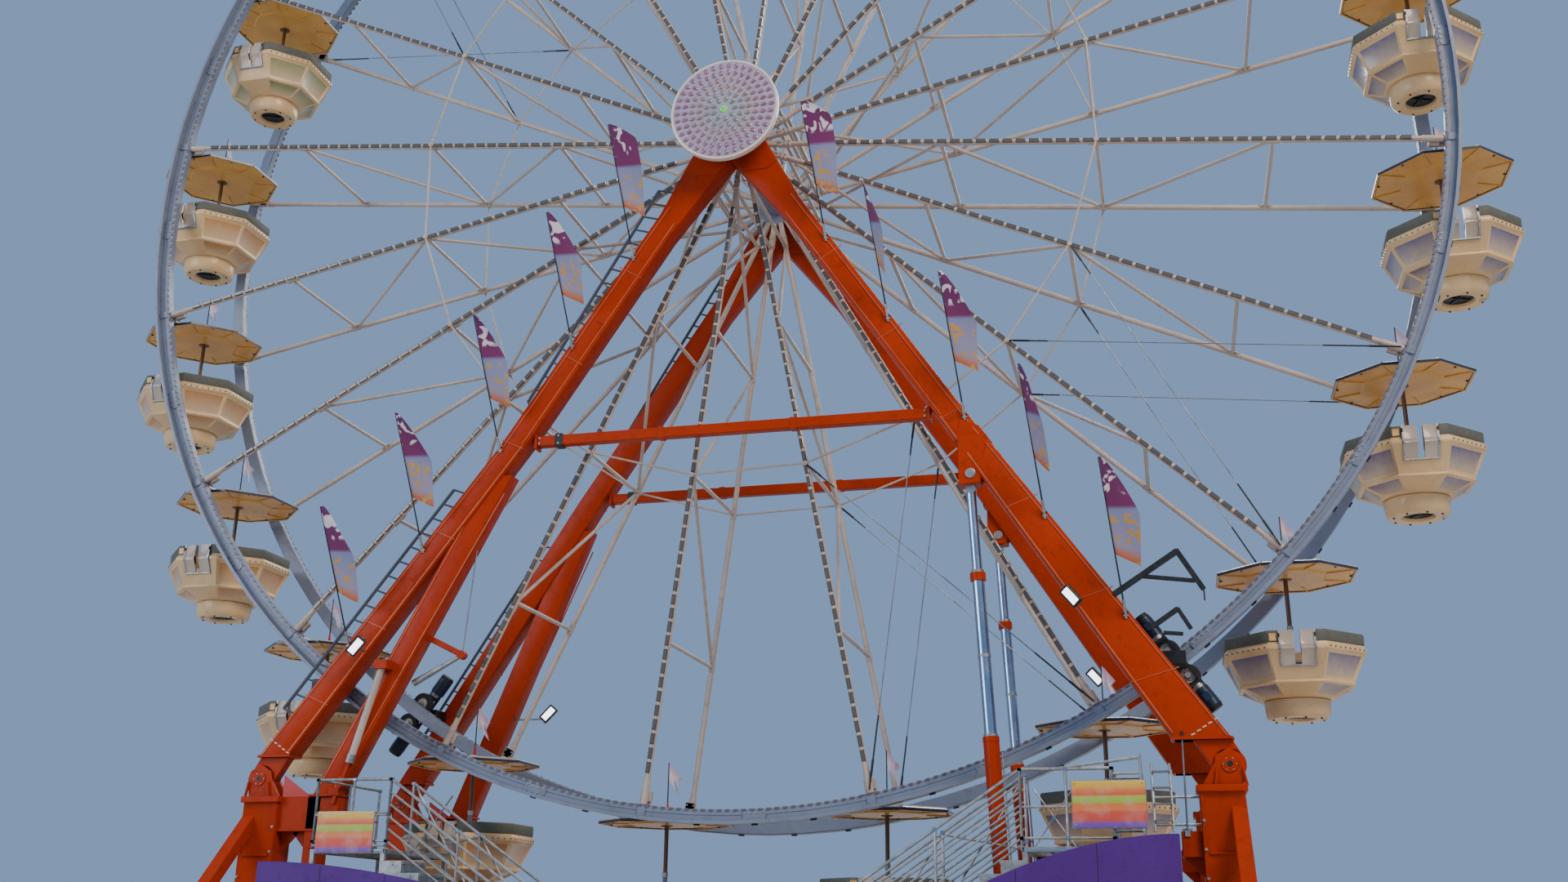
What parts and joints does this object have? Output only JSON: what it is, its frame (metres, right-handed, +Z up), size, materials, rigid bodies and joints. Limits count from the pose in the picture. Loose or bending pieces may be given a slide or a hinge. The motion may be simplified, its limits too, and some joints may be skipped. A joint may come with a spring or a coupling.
{
  "type": "ferris wheel",
  "caption": "Portable fairground wheel with open round gondolas on two rims, carried by orange A-frames over a base with boarding platforms.",
  "frame": {"origin": "on the ground, under the middle of the wheel", "axes": "+X to the right along the wheel as seen by people who board, +Y away from the boarding side, +Z up"},
  "size_m": [27.019, 11.52, 29.2695],
  "materials": {
    "frame_orange": "gloss",
    "rim_paint": "satin",
    "spoke_enamel": "satin",
    "steel": "satin",
    "gondola_shell": "gloss",
    "deck_metal": "matte",
    "lamp_board": "matte"
  },
  "bodies": {
    "base": {"base_chassis": "frame_orange", "left_tower_frame": "frame_orange", "right_tower_frame": "frame_orange", "left_front_leg": "frame_orange", "left_rear_leg": "frame_orange", "right_front_leg": "frame_orange", "right_rear_leg": "frame_orange", "front_tie_bar": "frame_orange", "rear_tie_bar": "frame_orange", "front_lifting_cylinder": "steel", "rear_lifting_cylinder": "steel", "front_platform": "deck_metal", "rear_platform": "deck_metal"},
    "wheel": {"hub": "rim_paint", "light_disc": "lamp_board", "front_rim": "rim_paint", "rear_rim": "rim_paint", "front_inner_ring": "steel", "rear_inner_ring": "steel", "spoke_01": "spoke_enamel", "spoke_02": "spoke_enamel", "spoke_03": "spoke_enamel", "spoke_04": "spoke_enamel", "spoke_05": "spoke_enamel", "spoke_06": "spoke_enamel", "spoke_07": "spoke_enamel", "spoke_08": "spoke_enamel", "spoke_09": "spoke_enamel", "spoke_10": "spoke_enamel", "spoke_11": "spoke_enamel", "spoke_12": "spoke_enamel", "spoke_13": "spoke_enamel", "spoke_14": "spoke_enamel", "spoke_15": "spoke_enamel", "spoke_16": "spoke_enamel", "spoke_17": "spoke_enamel", "spoke_18": "spoke_enamel", "spoke_19": "spoke_enamel", "spoke_20": "spoke_enamel"},
    "cabin_01": {"gondola_01": "gondola_shell"},
    "cabin_02": {"gondola_02": "gondola_shell"},
    "cabin_03": {"gondola_03": "gondola_shell"},
    "cabin_04": {"gondola_04": "gondola_shell"},
    "cabin_05": {"gondola_05": "gondola_shell"},
    "cabin_06": {"gondola_06": "gondola_shell"},
    "cabin_07": {"gondola_07": "gondola_shell"},
    "cabin_08": {"gondola_08": "gondola_shell"},
    "cabin_09": {"gondola_09": "gondola_shell"},
    "cabin_10": {"gondola_10": "gondola_shell"},
    "cabin_11": {"gondola_11": "gondola_shell"},
    "cabin_12": {"gondola_12": "gondola_shell"},
    "cabin_13": {"gondola_13": "gondola_shell"},
    "cabin_14": {"gondola_14": "gondola_shell"},
    "cabin_15": {"gondola_15": "gondola_shell"},
    "cabin_16": {"gondola_16": "gondola_shell"},
    "cabin_17": {"gondola_17": "gondola_shell"},
    "cabin_18": {"gondola_18": "gondola_shell"},
    "cabin_19": {"gondola_19": "gondola_shell"},
    "cabin_20": {"gondola_20": "gondola_shell"}
  },
  "joints": [
    {"name": "wheel_spin", "type": "hinge", "parent": "base", "child": "wheel", "pos_m": [0, 0, 15.9], "axis": [0, 1, 0], "continuous": true},
    {"name": "cabin_01_swing", "type": "hinge", "parent": "wheel", "child": "cabin_01", "pos_m": [-12.40947, 0, 17.40171], "axis": [0, 1, 0], "continuous": true},
    {"name": "cabin_02_swing", "type": "hinge", "parent": "wheel", "child": "cabin_02", "pos_m": [-12.26616, 0, 13.49348], "axis": [0, 1, 0], "continuous": true},
    {"name": "cabin_03_swing", "type": "hinge", "parent": "wheel", "child": "cabin_03", "pos_m": [-10.92215, 0, 9.82081], "axis": [0, 1, 0], "continuous": true},
    {"name": "cabin_04_swing", "type": "hinge", "parent": "wheel", "child": "cabin_04", "pos_m": [-8.50901, 0, 6.74321], "axis": [0, 1, 0], "continuous": true},
    {"name": "cabin_05_swing", "type": "hinge", "parent": "wheel", "child": "cabin_05", "pos_m": [-5.26295, 0, 4.56195], "axis": [0, 1, 0], "continuous": true},
    {"name": "cabin_06_swing", "type": "hinge", "parent": "wheel", "child": "cabin_06", "pos_m": [-1.50171, 0, 3.49053], "axis": [0, 1, 0], "continuous": true},
    {"name": "cabin_07_swing", "type": "hinge", "parent": "wheel", "child": "cabin_07", "pos_m": [2.40652, 0, 3.63384], "axis": [0, 1, 0], "continuous": true},
    {"name": "cabin_08_swing", "type": "hinge", "parent": "wheel", "child": "cabin_08", "pos_m": [6.07919, 0, 4.97785], "axis": [0, 1, 0], "continuous": true},
    {"name": "cabin_09_swing", "type": "hinge", "parent": "wheel", "child": "cabin_09", "pos_m": [9.15679, 0, 7.39099], "axis": [0, 1, 0], "continuous": true},
    {"name": "cabin_10_swing", "type": "hinge", "parent": "wheel", "child": "cabin_10", "pos_m": [11.33805, 0, 10.63705], "axis": [0, 1, 0], "continuous": true},
    {"name": "cabin_11_swing", "type": "hinge", "parent": "wheel", "child": "cabin_11", "pos_m": [12.40947, 0, 14.39829], "axis": [0, 1, 0], "continuous": true},
    {"name": "cabin_12_swing", "type": "hinge", "parent": "wheel", "child": "cabin_12", "pos_m": [12.26616, 0, 18.30653], "axis": [0, 1, 0], "continuous": true},
    {"name": "cabin_13_swing", "type": "hinge", "parent": "wheel", "child": "cabin_13", "pos_m": [10.92215, 0, 21.97919], "axis": [0, 1, 0], "continuous": true},
    {"name": "cabin_14_swing", "type": "hinge", "parent": "wheel", "child": "cabin_14", "pos_m": [8.50901, 0, 25.05679], "axis": [0, 1, 0], "continuous": true},
    {"name": "cabin_15_swing", "type": "hinge", "parent": "wheel", "child": "cabin_15", "pos_m": [5.26295, 0, 27.23805], "axis": [0, 1, 0], "continuous": true},
    {"name": "cabin_16_swing", "type": "hinge", "parent": "wheel", "child": "cabin_16", "pos_m": [1.50171, 0, 28.30947], "axis": [0, 1, 0], "continuous": true},
    {"name": "cabin_17_swing", "type": "hinge", "parent": "wheel", "child": "cabin_17", "pos_m": [-2.40652, 0, 28.16616], "axis": [0, 1, 0], "continuous": true},
    {"name": "cabin_18_swing", "type": "hinge", "parent": "wheel", "child": "cabin_18", "pos_m": [-6.07919, 0, 26.82215], "axis": [0, 1, 0], "continuous": true},
    {"name": "cabin_19_swing", "type": "hinge", "parent": "wheel", "child": "cabin_19", "pos_m": [-9.15679, 0, 24.40901], "axis": [0, 1, 0], "continuous": true},
    {"name": "cabin_20_swing", "type": "hinge", "parent": "wheel", "child": "cabin_20", "pos_m": [-11.33805, 0, 21.16295], "axis": [0, 1, 0], "continuous": true}
  ],
  "couplings": [
    {"joint": "cabin_01_swing", "follows": "wheel_spin", "ratio": -1},
    {"joint": "cabin_02_swing", "follows": "wheel_spin", "ratio": -1},
    {"joint": "cabin_03_swing", "follows": "wheel_spin", "ratio": -1},
    {"joint": "cabin_04_swing", "follows": "wheel_spin", "ratio": -1},
    {"joint": "cabin_05_swing", "follows": "wheel_spin", "ratio": -1},
    {"joint": "cabin_06_swing", "follows": "wheel_spin", "ratio": -1},
    {"joint": "cabin_07_swing", "follows": "wheel_spin", "ratio": -1},
    {"joint": "cabin_08_swing", "follows": "wheel_spin", "ratio": -1},
    {"joint": "cabin_09_swing", "follows": "wheel_spin", "ratio": -1},
    {"joint": "cabin_10_swing", "follows": "wheel_spin", "ratio": -1},
    {"joint": "cabin_11_swing", "follows": "wheel_spin", "ratio": -1},
    {"joint": "cabin_12_swing", "follows": "wheel_spin", "ratio": -1},
    {"joint": "cabin_13_swing", "follows": "wheel_spin", "ratio": -1},
    {"joint": "cabin_14_swing", "follows": "wheel_spin", "ratio": -1},
    {"joint": "cabin_15_swing", "follows": "wheel_spin", "ratio": -1},
    {"joint": "cabin_16_swing", "follows": "wheel_spin", "ratio": -1},
    {"joint": "cabin_17_swing", "follows": "wheel_spin", "ratio": -1},
    {"joint": "cabin_18_swing", "follows": "wheel_spin", "ratio": -1},
    {"joint": "cabin_19_swing", "follows": "wheel_spin", "ratio": -1},
    {"joint": "cabin_20_swing", "follows": "wheel_spin", "ratio": -1}
  ]
}
